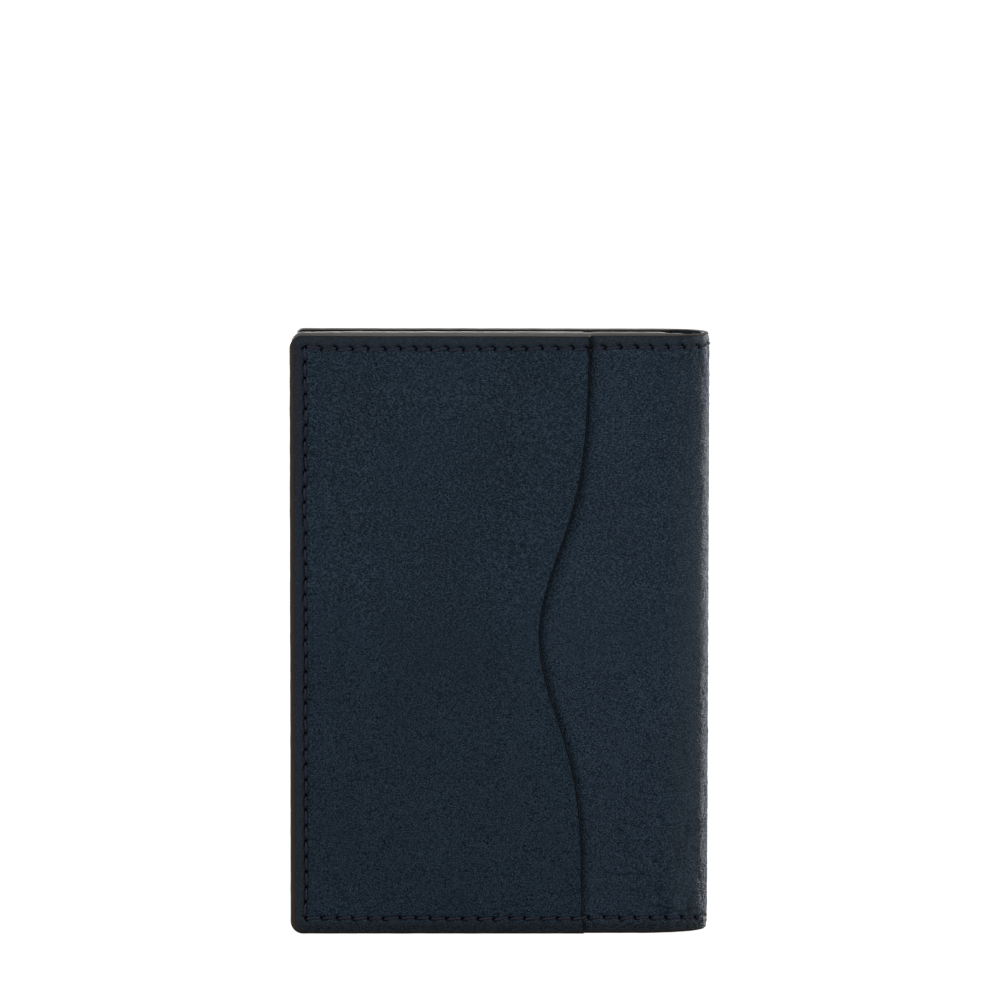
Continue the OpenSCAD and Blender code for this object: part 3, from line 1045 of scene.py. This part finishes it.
def make_floor():
    size = 12.0
    mesh = bpy.data.meshes.new("floor")
    corners = [(-size, -size, 0), (size, -size, 0), (size, size, 0), (-size, size, 0)]
    mesh.from_pydata(corners, [], [(0, 1, 2, 3)])
    floor = bpy.data.objects.new("floor", mesh)
    bpy.context.scene.collection.objects.link(floor)
    n = Nodes("floor")
    n.shader.inputs["Base Color"].default_value = (0.08, 0.08, 0.08, 1)
    n.shader.inputs["Roughness"].default_value = 0.9
    n.shader.inputs["Specular IOR Level"].default_value = 0.1
    n.shader.inputs["Emission Color"].default_value = (1, 1, 1, 1)
    path = n.add("ShaderNodeLightPath")
    glow = n.math("MULTIPLY_ADD", path.outputs["Is Camera Ray"], 1 - FLOOR_GLOW, FLOOR_GLOW)
    n.join(glow, n.shader.inputs["Emission Strength"])
    mesh.materials.append(n.material)


def make_light(name, azimuth, elevation, distance, size, power):
    """A softbox that looks at the object from a direction: azimuth 0 is the camera's side, 90 is +X."""
    a, e = math.radians(azimuth), math.radians(elevation)
    way = Vector((math.sin(a) * math.cos(e), -math.cos(a) * math.cos(e), math.sin(e)))
    data = bpy.data.lights.new(name, "AREA")
    data.shape = "RECTANGLE"
    data.size, data.size_y = size
    data.energy = power
    light = bpy.data.objects.new(name, data)
    light.location = Vector((0, 0, HEIGHT / 2)) + way * distance
    light.rotation_mode = "QUATERNION"
    light.rotation_quaternion = way.to_track_quat("Z", "Y")
    bpy.context.scene.collection.objects.link(light)


def make_world():
    """A white studio: the wall behind the holder is lit, and the camera's side of the room is dim."""
    world = bpy.data.worlds.new("studio")
    world.use_nodes = True
    tree = world.node_tree
    background = tree.nodes["Background"]
    place = tree.nodes.new("ShaderNodeTexCoord")
    split = tree.nodes.new("ShaderNodeSeparateXYZ")
    tree.links.new(place.outputs["Generated"], split.inputs[0])
    fade = tree.nodes.new("ShaderNodeMapRange")
    fade.interpolation_type = "SMOOTHSTEP"
    tree.links.new(split.outputs["Y"], fade.inputs["Value"])
    fade.inputs["From Min"].default_value = -0.1
    fade.inputs["From Max"].default_value = 0.85
    fade.inputs["To Min"].default_value = WORLD_FRONT
    fade.inputs["To Max"].default_value = WORLD_BACK
    path = tree.nodes.new("ShaderNodeLightPath")
    seen = tree.nodes.new("ShaderNodeMath")
    seen.operation = "MAXIMUM"
    tree.links.new(fade.outputs[0], seen.inputs[0])
    tree.links.new(path.outputs["Is Camera Ray"], seen.inputs[1])
    background.inputs["Color"].default_value = (1, 1, 1, 1)
    tree.links.new(seen.outputs[0], background.inputs["Strength"])
    bpy.context.scene.world = world


make_camera()
make_floor()
make_world()
make_light("left", -48, 24, 1.5, (0.5, 0.7), 6)
make_light("right", 76, 16, 1.5, (0.5, 0.9), 8)
make_light("left_rim", -90, 5, 1.5, (1.0, 0.5), 4)
make_light("right_rim", 132, 9, 1.5, (0.5, 0.9), 24)
make_light("top", 0, 45, 2.0, (1.2, 0.6), 6)
make_light("back", 180, 2, 0.7, (1.2, 0.14), 4)
bpy.context.scene.view_settings.view_transform = "Standard"
